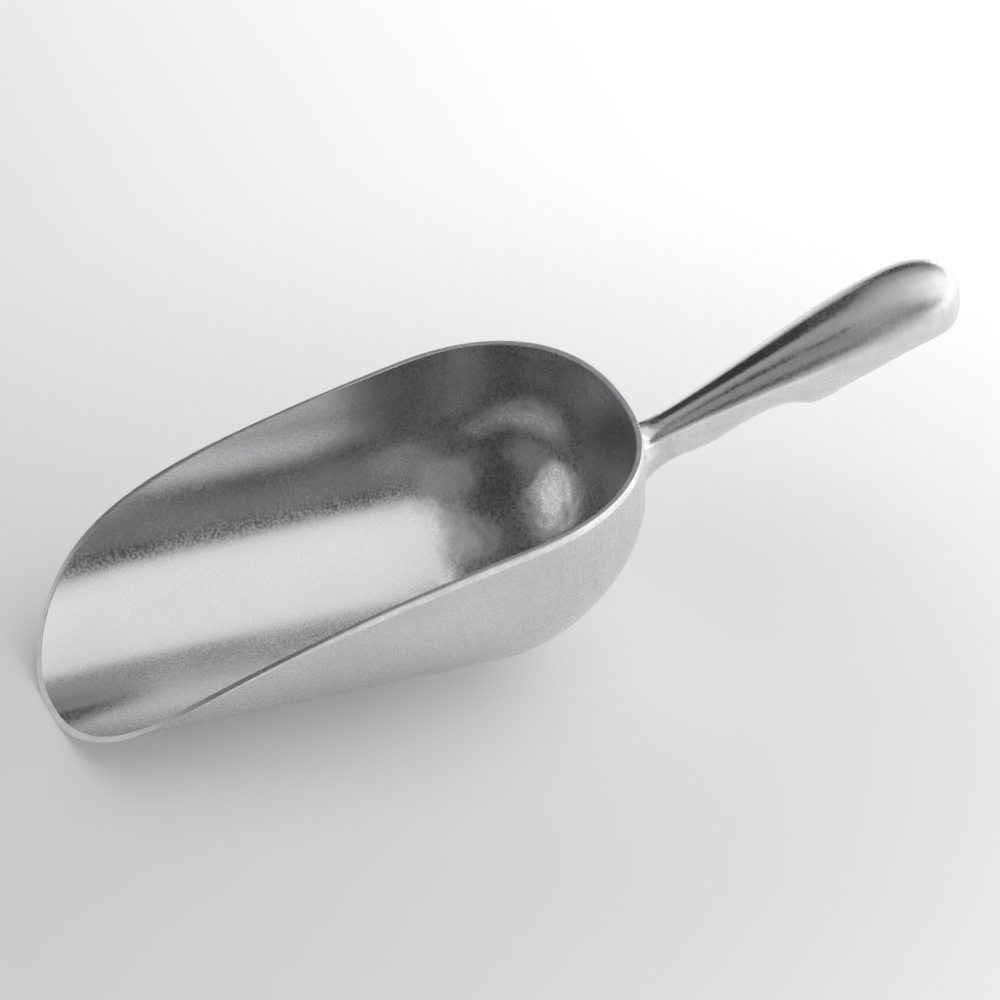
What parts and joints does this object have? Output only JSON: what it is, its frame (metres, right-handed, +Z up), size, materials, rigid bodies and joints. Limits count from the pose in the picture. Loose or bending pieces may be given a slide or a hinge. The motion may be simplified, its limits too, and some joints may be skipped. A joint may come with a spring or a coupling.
{
  "type": "ice scoop",
  "caption": "Hand scoop with a long open trough, a rounded back and a solid rising grip with finger rests, in cast aluminium.",
  "frame": {"origin": "under the middle of the object's length and width, at the height of the flat under the bowl", "axes": "+Y along the length from the mouth to the grip, +Z up out of the bowl, +X across; the plane X = 0 is the plane of symmetry"},
  "size_m": [0.1204, 0.318, 0.1021],
  "materials": {
    "cast_aluminium": "satin tumbled casting with a ground rim"
  },
  "bodies": {
    "root": {"bowl": "cast_aluminium", "handle": "cast_aluminium"}
  },
  "joints": []
}
